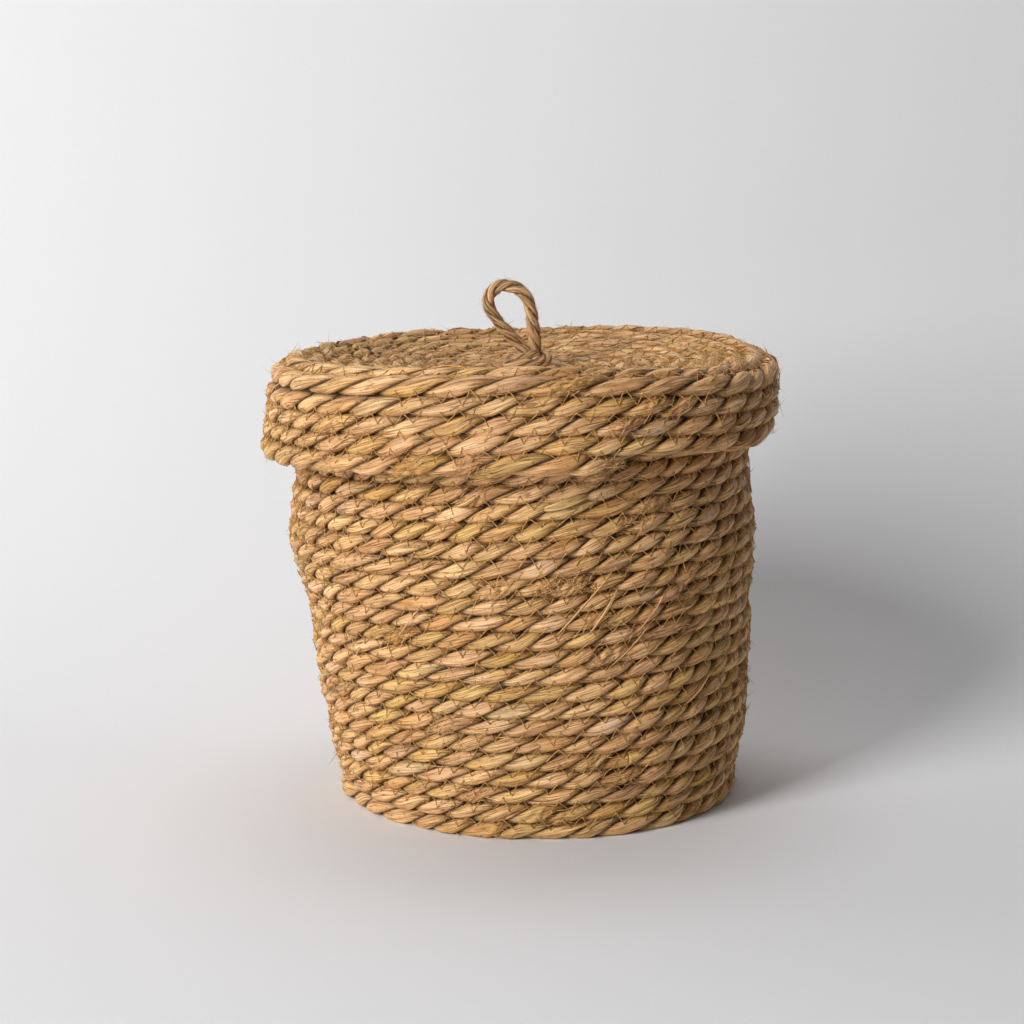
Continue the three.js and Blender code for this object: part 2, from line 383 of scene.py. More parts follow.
def leaf_colours(run, fibre, seed, palette, scale):
    """Colour of every point of a strand: each bump has a shade of its own, and so has each leaf in it."""
    leaf = np.floor(fibre / LEAF).astype(int) % LEAVES
    colour = np.broadcast_to(palette["base"], (*fibre.shape, 3))
    for k, (toward, spacing, amount) in enumerate(DRIFTS):
        strand_wide = wander(run, spacing * scale, seed + 10 + k)
        own = np.stack([wander(run, spacing * scale, seed + 20 + 10 * n + k) for n in range(LEAVES)], 1)
        level = amount * (strand_wide[:, None] + 0.4 * np.take_along_axis(own, leaf, 1))
        if toward == "grey":
            level = np.maximum(level - 0.35, 0) * 1.5
        if toward in ("green", "rust"):
            level = np.maximum(level, -0.15)
        colour = colour + level[..., None] * palette[toward]
    return np.clip(colour, 0.03, 1)


# -------- twisted rope and cord
# how strands are laid: how many, points on each, the length of a turn, how deep the crease between them is and
# how much shade is painted into it, how uneven they are, how far their fibres turn back and how far apart the
# rings are
Twist = namedtuple("Twist", "strands columns lay crease shade uneven turn_back step")
STEP = 1.2 * MM
GRASS_LAY = 34 * MM
BODY_TWIST, LID_TWIST = [
    Twist(strands=2, columns=14, lay=lay, crease=0.53, shade=0.82, uneven=1.0, turn_back=0.65, step=STEP)
    for lay in (GRASS_LAY, 1.2 * GRASS_LAY)]
JUTE_TWIST = Twist(strands=3, columns=8, lay=24 * MM, crease=0.40, shade=0.62, uneven=0.6, turn_back=0.5,
                   step=0.5 * MM)
FLAT_CREASE = 0.65  # how deep the creases are where a coil lies flat, against its side
CREASE_SHARP = 3.2  # a strand's roundness: higher is flatter, with narrower creases
# how closely the painted shade keeps to a strand's crease
CREASE_SHADE_SHARP = 6
STRAND_LEAN = 0.04
FOLD = 0.34  # from one fold of a strand's surface to the next, as a share of it
FOLD_DEPTH = 0.045
SPLICE = 9 * MM  # half the length of a rough place where new leaves were laid in
SPLICE_THICK, SPLICE_DARK = 0.05, 0.12
GROOVE_SHADE = 0.88  # painted shade: how dark a rope is painted where it lies against the next course
PRESSED = 1.05  # how full it is there, as creases close under pressure
CONTACT_SHARP = 7  # how narrow that place is
# unevenness as (how much, over what length): in the length of a turn, in how far the rope has turned and
# how far aside a crease lies, both in radians, in a strand's thickness, and in a splice's shape and colour
LAY_UNEVEN, TURN_UNEVEN, CREASE_UNEVEN = (0.2, 90 * MM), (0.45, 25 * MM), (0.4, 20 * MM)
STRAND_UNEVEN = ((0.085, 17 * MM), (0.05, 45 * MM))
SPLICE_UNEVEN, SPLICE_MOTTLE = (0.24, 3.1 * MM), 0.2


class Rope:
    """Strands twisted about evenly spaced centre points, and the surface that other things are set on.
    contacts says of the courses above and below how much of them touches and how much further round."""

    def __init__(self, centre, facing, wide, tall, twist, palette, seed, size=1.0, contacts=(), turn=None,
                 splices=(), depth=1.0):
        self.twist, self.turn, self.centre = twist, turn, centre
        self.along = unit(np.gradient(centre, axis=0))
        self.out = unit(facing - self.along * np.sum(facing * self.along, -1, keepdims=True))
        self.up = np.cross(self.out, self.along)
        self.wide, self.tall = [np.broadcast_to(v, len(centre)) for v in (wide, tall)]
        self.splices = np.asarray(splices, int)
        self.run = np.arange(len(centre)) * twist.step
        column = np.linspace(-1, 1, twist.columns + 1)[1:]  # the last one is the crease
        self.lay_strands(column, seed, palette, np.reshape(depth, (-1, 1)))
        touching = self.touching(contacts)
        self.radius = np.maximum(self.radius, PRESSED * touching) * np.reshape(size, (-1, 1))
        crease = np.tile(np.abs(column), twist.strands)
        # painted shade: darker in the creases between strands and where the rope lies against the next course
        shadow = (1 - twist.shade * crease ** CREASE_SHADE_SHARP)[None, :] * (1 - GROOVE_SHADE * touching)
        # painted sheen on each strand's crown, and painted shade towards its creases
        wear_and_sheen = 1 + CROWN_SHEEN * (1 - 2 * crease ** 2)[:, None]
        self.colour = self.colour * shadow[..., None] * wear_and_sheen
        across = self.out[:, None, :] * (self.radius * np.cos(self.angle) * self.wide[:, None])[..., None]
        upwards = self.up[:, None, :] * (self.radius * np.sin(self.angle) * self.tall[:, None])[..., None]
        self.rings = centre[:, None, :] + across + upwards

    def lay_strands(self, column, seed, palette, depth):
        """Angle, radius, colour and fibre direction of every point of the section."""
        twist, run = self.twist, self.run
        scale = twist.lay / GRASS_LAY
        laid = run / scale
        lay = twist.lay * (1 + twist.uneven * drift(LAY_UNEVEN, laid, seed + 6))
        turned = TURN * np.cumsum(twist.step / lay) + twist.uneven * drift(TURN_UNEVEN, laid, seed + 7)
        slip = [twist.uneven * drift(CREASE_UNEVEN, laid, seed + 8 + k) for k in range(twist.strands)]
        rough = np.zeros(len(run))
        for row in self.splices:
            rough = np.maximum(rough, np.exp(-((run - run[row]) / SPLICE) ** 2))
        rough = rough[:, None]
        crumpled, crumple_length = SPLICE_UNEVEN

        sunk = depth * twist.crease * np.abs(column) ** CREASE_SHARP
        shape = 1 - sunk - STRAND_LEAN * column * (1 - column ** 2)
        share = (column[None, :] + 1) / 2
        fibre = column[None, :] + (twist.turn_back * twist.strands / math.pi) * turned[:, None]
        radius, angle, colour, across = [], [], [], []
        for strand in range(twist.strands):
            lobe = seed + 50 + 100 * strand
            crumple = np.stack([wander(run, crumple_length, lobe + 60 + c) for c in range(len(column))], 1)
            thick = sum(drift(uneven, laid, lobe + 30 + k) for k, uneven in enumerate(STRAND_UNEVEN))[:, None]
            radius.append(shape + twist.uneven * (FOLD_DEPTH * wander(fibre, FOLD, lobe) + thick)
                          + rough * (crumpled * crumple + SPLICE_THICK))
            shift = slip[strand - 1][:, None] * (1 - share) + slip[strand][:, None] * share
            own = (TURN * strand + column[None, :] * math.pi) / twist.strands
            angle.append(turned[:, None] + shift + own)
            wear_and_sheen = 1 - (rough * (SPLICE_DARK + SPLICE_MOTTLE * crumple))[..., None] * SPLICE_TONE
            colour.append(leaf_colours(run, fibre, lobe + 40, palette, scale) * wear_and_sheen)
            across.append(fibre * math.pi * self.wide[0] / twist.strands + 0.1 * strand)
        self.radius, self.angle, self.colour, across = [
            np.concatenate(parts, 1) for parts in (radius, angle, colour, across)]
        self.grain = np.stack(np.broadcast_arrays(across, run[:, None], 0.0), -1)

    def touching(self, contacts):
        """How much each point of the section is pressed against the next course, from 0 to 1."""
        total = np.zeros_like(self.angle)
        for toward, (amount, shift) in zip((1, -1), contacts):
            beside = np.maximum(np.cos(self.angle - toward * (math.pi / 2 + shift[:, None])), 0)
            total += amount[:, None] * beside ** CONTACT_SHARP
        return total

    def piece(self, name, first=0, last=None):
        part = slice(first, last)
        return tubes(name, self.rings[None, part], self.colour[None, part], self.grain[None, part])

    def row(self, turn):
        return np.interp(turn, self.turn, np.arange(len(self.turn)))

    def turn_at(self, row):
        return np.interp(row, np.arange(len(self.turn)), self.turn)

    def axes(self, turn):
        """Directions outwards, up and along at these turn counts."""
        i = np.rint(self.row(turn)).astype(int)
        return self.out[i], self.up[i], self.along[i]

    def surface(self, turn, section, lift=0.0):
        """Surface points at these turn counts, at an angle of the section: 0 is outwards, 90 degrees up."""
        row = self.row(turn)
        i = np.rint(row).astype(int)
        gap = np.abs((self.angle[i] - section[:, None] + math.pi) % TURN - math.pi)
        nearest = np.argsort(gap, 1)[:, :2]
        gaps = np.take_along_axis(gap, nearest, 1) + 1e-6
        radii = np.take_along_axis(self.radius[i], nearest, 1)
        radius = np.sum(radii * gaps[:, ::-1], 1) / np.sum(gaps, 1)
        centre = between(row, np.arange(len(self.centre)), self.centre)
        return (centre + self.out[i] * (np.cos(section) * (radius * self.wide[i] + lift))[:, None]
                + self.up[i] * (np.sin(section) * (radius * self.tall[i] + lift))[:, None])


# unevenness of a coil as (how much, over what length): square to the surface, along it, and in thickness
OUT_UNEVEN, UP_UNEVEN = (0.5 * MM, 21 * MM), (0.28 * MM, 31 * MM)
SIZE_UNEVEN, LUMPS = (0.05, 60 * MM), (0.03, 9 * MM)
END_SIZE = 0.25  # how thick a rope's tapered end is
TAPER_START = 8 * MM
EDGE_FADE = 0.04  # turns over which a course comes to lie beside the next
SPLICE_GAP = (260 * MM, 900 * MM)  # from one splice to the next along a rope
# frayed places as azimuth in degrees and height in millimetres
WALL_FRAYED = ((-63, 155), (-96, 122), (-85, 125), (-77, 125), (-71, 37), (-71, 93), (-63, 102),
               (-103, 166), (-48, 114), (-137, 132), (-151, 58), (-112, 53), (-57, 157), (-84, 127),
               (-122, 96), (-70, 110))
LID_FRAYED = ((-80, 218), (-69, 202), (-114, 184), (-136, 195), (-173, 190), (-60, 210), (-67, 180),
              (-101, 184))


def coil(path, last, flat, side, twist, seed, frayed, edges, taper_end):
    """Grass rope along a path up to a turn count. flat and side are its half sizes, square to the surface and
    along it, where the coil lies flat and where it stands as a side. edges has, for the upper and the lower
    side, the stretches where the next course isn't straight beside this one: from and to which turn, how
    much of it touches and how much further round."""
    dense = np.linspace(0, last, int(last * 400) + 2)
    centres, _, _ = path(dense)
    lengths = distances(centres)
    run = np.arange(int(lengths[-1] / STEP) + 1) * STEP
    turn = np.interp(run, lengths, dense)
    centre, facing, over = path(turn)
    wide, tall = [a + (b - a) * over for a, b in zip(flat, side)]
    up = np.cross(facing, unit(np.gradient(centre, axis=0)))
    centre = centre + facing * drift(OUT_UNEVEN, run, seed + 1)[:, None]
    centre = centre + up * drift(UP_UNEVEN, run, seed + 2)[:, None]
    size = 1 + drift(SIZE_UNEVEN, run, seed + 3) + drift(LUMPS, run, seed + 4)
    for from_end, taper in ((run[-1] - run, taper_end), (run, TAPER_START)):
        size *= END_SIZE + (1 - END_SIZE) * smoothstep(from_end / taper)
    splices = list(np.cumsum(np.random.default_rng(seed + 5).uniform(*SPLICE_GAP, 60)) / STEP)
    azimuths = np.arctan2(centre[:, 1], centre[:, 0])
    for azimuth, height in frayed:
        aside = np.sin((azimuths - math.radians(azimuth)) / 2) * 2 * LID_RADIUS
        gap = np.hypot(aside, centre[:, 2] - height * MM) + np.where(over < 1, 1.0, 0.0)
        splices.append(gap.argmin())
    splices = [row for row in splices if row < len(run)] + [len(run) - 5]
    contacts = []
    for stretches in edges:
        amount, shift = np.ones(len(turn)), np.zeros(len(turn))
        for from_turn, to_turn, touching, turned in stretches:
            inside = smoothstep((turn - from_turn) / EDGE_FADE) * smoothstep((to_turn - turn) / EDGE_FADE)
            amount += (touching - 1) * inside
            shift += turned * inside
        contacts.append((amount, shift))
    return Rope(centre, facing, wide, tall, twist, GRASS, seed, size, contacts, turn=turn,
                splices=splices, depth=FLAT_CREASE + (1 - FLAT_CREASE) * over)


# -------- materials
class Shading:
    """A node material. add() makes a node, sets its plain inputs and links those that are given a socket."""

    def __init__(self, name):
        self.material = bpy.data.materials.new(name)
        self.material.use_nodes = True
        self.tree = self.material.node_tree
        self.tree.nodes.clear()

    def add(self, kind, settings=None, values=(), **inputs):
        node = self.tree.nodes.new("ShaderNode" + kind)
        for key, value in (settings or {}).items():
            setattr(node, key, value)
        wanted = [(node.inputs[k], v) for k, v in enumerate(values)]
        wanted += [(node.inputs[key.replace("_", " ")], value) for key, value in inputs.items()]
        for socket, value in wanted:
            if isinstance(value, bpy.types.NodeSocket):
                self.tree.links.new(value, socket)
            else:
                socket.default_value = value
        return node.outputs[0] if node.outputs else None

    def math(self, operation, *values):
        return self.add("Math", {"operation": operation}, values)

    def remap(self, value, low, high, to_low, to_high):
        return self.add("MapRange", None, (value, low, high, to_low, to_high))

    def times(self, colour, factor):
        return self.add("VectorMath", {"operation": "MULTIPLY"}, (colour, factor))

    def ramp(self, value, *stops):
        node = self.tree.nodes.new("ShaderNodeValToRGB")
        elements = node.color_ramp.elements
        for k, (position, colour) in enumerate(stops):
            element = elements[k] if k < 2 else elements.new(position)
            element.position = position
            element.color = (*colour, 1)
        self.tree.links.new(value, node.inputs["Fac"])
        return node.outputs["Color"]

    def surface(self, colour, roughness, height, depth, specular=0.3):
        normal = self.add("Bump", None, (), Strength=1.0, Distance=depth, Height=height)
        shader = self.add("BsdfPrincipled", None, (), Base_Color=colour, Roughness=roughness, Normal=normal,
                          Specular_IOR_Level=specular)
        self.add("OutputMaterial", None, (), Surface=shader)
        return self.material


def fibre_material(name, fine, fold, depth, dark=(0.52, 0.40, 0.29), light=(1.16, 1.2, 1.3)):
    """Dry fibre: point colours, streaked, ridged and creased along the grain, with shade painted into the
    creases. fine and fold are per metre.
    """
    shading = Shading(name)
    tint = shading.add("Attribute", {"attribute_name": "tint"})
    grain = shading.add("Attribute", {"attribute_name": "grain"}).node.outputs["Vector"]

    def streaks(across, along, detail):
        place = shading.times(grain, (across, along, 1))
        return shading.add("TexNoise", {"noise_dimensions": "2D"}, (), Vector=place, Scale=1.0, Detail=detail,
                           Roughness=0.6)

    ridges = streaks(fine, fine / 18, 3)
    bands = streaks(fine / 3.2, fine / 40, 2)
    folded = shading.math("ABSOLUTE", shading.math("SUBTRACT", streaks(fold, fold / 20, 1), 0.5))
    open_fold = shading.remap(folded, 0.0, 0.028, 0.0, 1.0)
    position = shading.add("NewGeometry")
    speck = shading.add("TexNoise", None, (), Vector=position, Scale=650.0, Detail=1.0)

    streak = shading.ramp(ridges, (0.30, dark), (0.72, light), (0.44, (0.95, 0.92, 0.86)))
    band = shading.ramp(bands, (0.33, (0.74, 0.67, 0.58)), (0.62, (1.1, 1.12, 1.14)))
    # painted shade in the folds of the leaves
    crease = shading.ramp(open_fold, (0.0, (0.5, 0.4, 0.3)), (0.9, (1.0, 1.0, 1.0)))
    spot = shading.ramp(speck, (0.66, (1.0, 1.0, 1.0)), (0.74, (0.62, 0.52, 0.42)))
    colour = tint
    for layer in (streak, band, crease, spot):
        colour = shading.times(colour, layer)
    height = shading.math("ADD", shading.math("MULTIPLY", ridges, 0.8),
                          shading.math("ADD", shading.math("MULTIPLY", open_fold, 0.45), bands))
    return shading.surface(colour, shading.remap(bands, 0.3, 0.7, 0.4, 0.7), height, depth, specular=0.5)


def spun_material(name, colour, dark, scale):
    """Spun or loose fibre seen from afar: mottled, matte and finely bumped. scale is per metre."""
    shading = Shading(name)
    position = shading.add("NewGeometry")
    mottle = shading.add("TexNoise", None, (), Vector=position, Scale=scale, Detail=3.0)
    shade = shading.ramp(mottle, (0.36, dark), (0.62, colour))
    return shading.surface(shade, shading.remap(mottle, 0.3, 0.7, 0.55, 0.85), mottle, 0.1 * MM)


grass = fibre_material("dry_grass_rope", 1500.0, 330.0, 0.55 * MM)
jute = fibre_material("jute_cord", 1500.0, 600.0, 1.0 * MM, (0.30, 0.22, 0.16), (1.75, 1.75, 1.7))
thread = spun_material("stitch_thread", (0.70, 0.41, 0.13), (0.32, 0.16, 0.045), 900.0)
straw = spun_material("loose_straw", (0.84, 0.54, 0.24), (0.42, 0.24, 0.09), 500.0)
lint = spun_material("jute_lint", (0.70, 0.46, 0.24), (0.40, 0.25, 0.12), 300.0)


def finish_piece(piece, material, body, slot, *nodes):
    piece.data.materials.append(material)
    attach(piece, body)
    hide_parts(*nodes)
    return piece


# -------- ropes
def sliced(rope, name, first, last, parts, body, slot, node):
    """Pieces of a rope between two turn counts."""
    rows = np.rint(np.linspace(*rope.row(np.array([first, last])), parts + 1)).astype(int)
    for k in range(parts):
        piece = rope.piece(f"{name}_{k + 1}", rows[k], rows[k + 1] + 1)
        finish_piece(piece, grass, body, slot, node)


BODY_END = BASE_TURNS + WALL_COURSES - JOG + 0.12
BODY_EDGES = ([(BODY_END - 1, BODY_END + 1, 0, 0)], [(BASE_TURNS - 0.6, BASE_TURNS + 1, 0, 0)])
BASE_WIDE, DISC_WIDE = BASE_PITCH / 2 * FLAT_SQUEEZE, DISC_PITCH / 2 * FLAT_SQUEEZE
body_rope = coil(joined(base_path, wall_path, BASE_TURNS), BODY_END, (BASE_TALL, BASE_WIDE),
                 (ROPE_WIDE, WALL_TALL), BODY_TWIST, 2000, WALL_FRAYED, BODY_EDGES, taper_end=60 * MM)
sliced(body_rope, "base_rope_coil", 0, BASE_TURNS, 1, "basket", "body_rope", "base_rope")
sliced(body_rope, "wall_rope", BASE_TURNS, BODY_END, 6, "basket", "body_rope", "wall_rope")

LID_END = DISC_TURNS + SKIRT_END
edge_fall = math.atan2(DISC_EDGE_Z - SKIRT_TOP, SKIRT_RADIUS - EDGE_TUCK - DISC_EDGE)
LID_EDGES = ([(DISC_TURNS - JOG / 2, DISC_TURNS + 1 - JOG / 2, 1, math.pi / 2 - edge_fall)],
             [(DISC_TURNS - 1, DISC_TURNS - JOG / 2, 1, edge_fall), (LID_END - 1, LID_END + 1, 0, 0)])
lid_rope = coil(joined(disc_path, skirt_path, DISC_TURNS), LID_END, (DISC_TALL, DISC_WIDE),
                (SKIRT_WIDE, SKIRT_TALL), LID_TWIST, 3000, LID_FRAYED, LID_EDGES, taper_end=16 * MM)
sliced(lid_rope, "lid_top_coil", 0, DISC_TURNS, 2, "lid", "lid_rope", "lid_top_rope")
sliced(lid_rope, "lid_skirt_coil", DISC_TURNS, LID_END, 1, "lid", "lid_rope", "lid_skirt_rope")


# -------- thin tubes: thread, hairs and leaf strips
def strips(name, spine, lift, wide, thin, sides=4, shrink=1.0, colour=None):
    """Closed strips along many short spines, (strip, point, xyz). lift is roughly square to each spine, and
    shrink scales the section at each point."""
    along = unit(np.gradient(spine, axis=1))
    across = unit(np.cross(along, lift[:, None, :]))
    other = np.cross(across, along)
    angle = np.arange(sides) * TURN / sides
    wide, thin = [np.broadcast_to(np.reshape(v, (-1, 1)) * np.array(shrink), spine.shape[:2])[..., None, None]
                  for v in (wide, thin)]
    cosine, sine = [f(angle)[None, None, :, None] for f in (np.cos, np.sin)]
    rings = spine[:, :, None] + across[:, :, None] * cosine * wide + other[:, :, None] * sine * thin
    if colour is None:
        return tubes(name, rings)
    run = distances(spine) + np.arange(len(spine))[:, None] * 50 * MM  # so no two have the same grain
    grain = np.stack(np.broadcast_arrays((cosine * wide)[..., 0], run[:, :, None], 0.0), -1)
    return tubes(name, rings, np.broadcast_to(colour[:, None, None, :], grain.shape), grain)


THREAD = 0.25 * MM  # the thread's radius
STITCH = 8.6 * MM  # from one zigzag to the next
STITCH_JITTER = 0.13
STITCH_ROOT = 0.8 * MM  # how deep its ends are sunk
STITCHED_LEVELS = np.radians((2, 34))  # how far up the section the needle goes in
LOST_STITCHES = 0.06  # the share of the legs that are worn away or hidden
BENDS_AT = 0.33  # where a slack leg bends, as a share of its way from either end
STITCH_OFF, SLACK_OFF = 0.4 * MM, 0.3 * MM  # how far its ends and its slack middle stay off the rope


def stitches(name, rope, first, last, toward, behind, seed, over=(0.0, 0.0)):
    """Zigzag legs over the groove between each course and the next, which lies up (toward 1) or down (-1).
    over says how much further round the sections of both courses the groove lies."""
    own_turned, after_turned = over
    rng = np.random.default_rng(seed)
    rows = rope.row(np.array([first, last]))
    count = int((rows[1] - rows[0]) * STEP / (STITCH / 2))
    knots = np.linspace(rows[0], rows[1], count + 1)
    knots[1:-1] += rng.uniform(-STITCH_JITTER, STITCH_JITTER, count - 1) * STITCH / STEP
    turn = rope.turn_at(knots)
    beta = rng.uniform(*STITCHED_LEVELS, count + 1)
    on_next = np.arange(count + 1) % 2 == 1

    def place(course_turn, reach, next_course, lift):
        section, next_section = toward * (reach + own_turned), -toward * (reach + after_turned)
        if behind:
            section, next_section = math.pi - section, math.pi - next_section
        return rope.surface(course_turn + next_course, np.where(next_course, next_section, section), lift)

    def leg_end(this, other):
        """One end of each leg: its root, where it comes out, and its next point if it is slack."""
        near = turn[this] + BENDS_AT * (turn[other] - turn[this])
        root = place(turn[this], beta[this] * 0.8, on_next[this], -STITCH_ROOT)
        hole = place(turn[this], beta[this], on_next[this], STITCH_OFF)
        return root, hole, place(near, np.full(count, math.pi / 3), on_next[this], SLACK_OFF)

    a, b = slice(0, -1), slice(1, None)
    root_a, hole_a, sunk_a = leg_end(a, b)
    root_b, hole_b, sunk_b = leg_end(b, a)
    tight = rng.uniform(0.45, 1.0, count)[:, None]
    middle_a = (hole_a + BENDS_AT * (hole_b - hole_a)) * tight + sunk_a * (1 - tight)
    middle_b = (hole_b + BENDS_AT * (hole_a - hole_b)) * tight + sunk_b * (1 - tight)
    spine = np.stack([root_a, hole_a, middle_a, middle_b, hole_b, root_b], 1)
    out, _, _ = rope.axes((turn[a] + turn[b]) / 2)
    kept = rng.random(count) > LOST_STITCHES
    return strips(name, spine[kept], out[kept], THREAD * rng.uniform(0.8, 1.15, kept.sum()), THREAD)


level, edge = (0.0, 0.0), (edge_fall, math.pi / 2 - edge_fall)
WALL_STITCHED = (BASE_TURNS + 0.3, BODY_END - 1.1)
for name, rope, (first, last), toward, behind, over, body, node in (
    ("wall_stitches", body_rope, WALL_STITCHED, 1, False, level, "basket", ["wall_stitching"]),
    ("wall_stitches_inside", body_rope, WALL_STITCHED, 1, True, level, "basket", []),
    ("base_stitches", body_rope, (0.3, BASE_TURNS - 1), -1, False, level, "basket", ["base_stitching"]),
    ("base_stitches_below", body_rope, (0.3, BASE_TURNS - 1), -1, True, level, "basket", []),
    ("lid_top_stitches", lid_rope, (0.3, DISC_TURNS - 1), -1, False, level, "lid", ["lid_top_stitching"]),
    ("lid_edge_stitches", lid_rope, (DISC_TURNS - 1, DISC_TURNS - JOG), -1, False, edge, "lid", []),
    ("lid_skirt_stitches", lid_rope, (DISC_TURNS + 0.3, LID_END - 1), -1, False, level, "lid",
     ["lid_skirt_stitching"]),
):
    piece = stitches(name, rope, first, last, toward, behind, 500 + len(name), over)
    finish_piece(piece, thread, body, "stitch_thread", *node)


# -------- hairs, peeling leaves and frayed spots
def scattered(rope, first, last, count, rng, behind=0.15):
    """Random turn counts and section angles on a rope, mostly on the side that shows."""
    rows = rng.uniform(*rope.row(np.array([first, last])), count)
    section = np.radians(rng.uniform(-75, 75, count))
    hidden = rng.random(count) < behind
    return rope.turn_at(rows), np.where(hidden, math.pi - section, section)


HAIR_ROOT, LEAF_ROOT = 0.4 * MM, 0.35 * MM  # how deep hairs and leaf strips are rooted
LEAF_OFF = 0.25 * MM  # how far leaf strips stay off the rope
FLOOR_CLEAR = 0.3 * MM
LEAF_THIN = 0.16 * MM


def hairs(name, rope, turn, section, length, radius, rise, rng, slant=0.35, curl=0.25):
    """Tapered hairs that lie along the strands and lift off the surface by the share rise."""
    root = rope.surface(turn, section, -HAIR_ROOT)
    out, up, along = rope.axes(turn)
    normal = out * np.cos(section)[:, None] + up * np.sin(section)[:, None]
    side = np.cross(normal, along)
    heading = np.where(rng.random(len(turn)) < 0.5, -1.0, 1.0)[:, None]
    slant = rng.normal(slant, 0.35 + curl, len(turn))[:, None]
    rise = np.abs(rng.normal(rise, rise * 0.7, len(turn)))[:, None]
    aim = unit(heading * (along + slant * side) + rise * normal)
    bend = side * rng.normal(0, curl, len(turn))[:, None]
    bend = bend - normal * rng.uniform(0, 0.5, len(turn))[:, None] * rise
    share = np.array([0, 0.3, 0.65, 1.0])[None, :, None]
    length = np.reshape(length, (-1, 1, 1))
    spine = root[:, None] + aim[:, None] * length * share + bend[:, None] * length * share ** 2
    clear = spine[..., 2].min(1) > FLOOR_CLEAR
    return strips(name, spine[clear], normal[clear], radius[clear], radius[clear], 3, [1, 0.9, 0.65, 0.2])


def leaf_strips(name, rope, turn, section, length, wide, rise, rng):
    """Leaf edges peeling off: thin pointed strips along a strand, with one end in the rope."""
    out, up, _ = rope.axes(turn)
    normal = out * np.cos(section)[:, None] + up * np.sin(section)[:, None]
    heading = np.where(rng.random(len(turn)) < 0.5, -1.0, 1.0)
    slant = heading * rng.normal(0.4, 0.12, len(turn)) * length / rope.wide[0]
    row = rope.row(turn)
    spine = []
    for share in (0, 0.15, 0.4, 0.7, 1.0):
        place = rope.turn_at(row + heading * share * length / STEP)
        lift = rise * math.sin(share * 2.6) + (LEAF_OFF if share else -LEAF_ROOT)
        spine.append(rope.surface(place, section + share * slant, lift))
    spine = np.stack(spine, 1)
    clear = spine[..., 2].min(1) > FLOOR_CLEAR
    shade = rng.uniform(0.75, 1.15, len(turn))[:, None]
    colour = np.clip(TAN * shade + GREEN * rng.uniform(-0.6, 0.8, len(turn))[:, None], 0.03, 1)
    return strips(name, spine[clear], normal[clear], wide[clear], LEAF_THIN, 4, [0.7, 1, 0.95, 0.6, 0.12],
                  colour[clear])


TUFT = 64  # hairs at each splice
rng = np.random.default_rng(77)
for name, rope, first, last, hair_count, leaf_count, body, slot in (
    ("wall", body_rope, BASE_TURNS, BODY_END, 3600, 200, "basket", "body_rope"),
    ("base", body_rope, 0.2, BASE_TURNS, 300, 40, "basket", "body_rope"),
    ("lid_top", lid_rope, 1.3, DISC_TURNS, 2200, 200, "lid", "lid_rope"),
    ("lid_skirt", lid_rope, DISC_TURNS, LID_END, 1300, 60, "lid", "lid_rope"),
):
    turn, section = scattered(rope, first, last, hair_count, rng)
    length = 2.2 * MM + 7.5 * MM * rng.random(hair_count) ** 2
    radius = rng.uniform(0.1, 0.23, hair_count) * MM
    piece = hairs(f"{name}_hairs", rope, turn, section, length, radius, 0.28, rng)
    finish_piece(piece, straw, body, slot)
    turn, section = scattered(rope, first, last, leaf_count, rng)
    piece = leaf_strips(f"{name}_leaf_strips", rope, turn, section, rng.uniform(6, 20, leaf_count) * MM,
                        rng.uniform(0.35, 1.2, leaf_count) * MM, rng.uniform(0.2, 1.1, leaf_count) * MM, rng)
    finish_piece(piece, grass, body, slot)

for name, rope, body, slot in (("body_tufts", body_rope, "basket", "body_rope"),
                               ("lid_tufts", lid_rope, "lid", "lid_rope")):
    count = TUFT * len(rope.splices)
    place = np.repeat(rope.splices, TUFT) + rng.normal(0, 0.5 * SPLICE / STEP, count)
    section = np.radians(rng.uniform(-80, 80, count))
    piece = hairs(name, rope, rope.turn_at(place), section, rng.uniform(1.5, 6.5, count) * MM,
                  rng.uniform(0.12, 0.38, count) * MM, 0.12, rng, slant=0.4, curl=0.4)
    finish_piece(piece, straw, body, slot)


# straws and a loose leaf over the wall: azimuth in degrees and height of both ends, half width and how far
# they stand off, in millimetres
LOOSE = (((-84, 101), (-70, 131), 0.5, 1.0), ((-76, 101), (-69, 122), 0.7, 1.8),
         ((-71, 84), (-60, 103), 0.45, 1.2), ((-64, 99), (-56, 118), 0.4, 1.3),
         ((-125, 92), (-117, 112), 0.4, 1.2), ((-48, 60), (-38, 74), 0.5, 1.2),
         ((-86, 159.5), (-75.5, 165.5), 2.2, 2.0))
LEAF_GREEN = np.array([0.76, 0.50, 0.20])
LOOSE_THIN = 0.2 * MM
LOOSE_DEPTH = 1.2 * MM  # how deep in the wall their ends are


def loose_strips(name):
    """Flat straws bridging the wall's courses, with both ends worked into the rope."""
    share = np.linspace(0, 1, 11)
    spines, widths = [], []
    for (azimuth_a, low), (azimuth_b, high), half_width, rise in LOOSE:
        azimuth = np.radians(azimuth_a + (azimuth_b - azimuth_a) * share)
        height = (low + (high - low) * share) * MM
        arch = np.sin(math.pi * share) ** 0.6
        spines.append(wall_point(height, azimuth, LOOSE_DEPTH - (LOOSE_DEPTH + rise * MM) * arch))
        widths.append(half_width * MM)
    spines = np.array(spines)
    middle = spines[:, 5] * np.array([1, 1, 0])
    colour = np.tile(TAN * 0.95, (len(LOOSE), 1))
    colour[-1] = LEAF_GREEN
    taper = np.sin(math.pi * (0.1 + 0.8 * share)) ** 0.7
    return strips(name, spines, unit(middle), widths, LOOSE_THIN, 8, taper, colour)


finish_piece(loose_strips("wall_loose_strips"), grass, "basket", "body_rope")


# -------- jute handle
CORD = 3.2 * MM  # the cord's radius


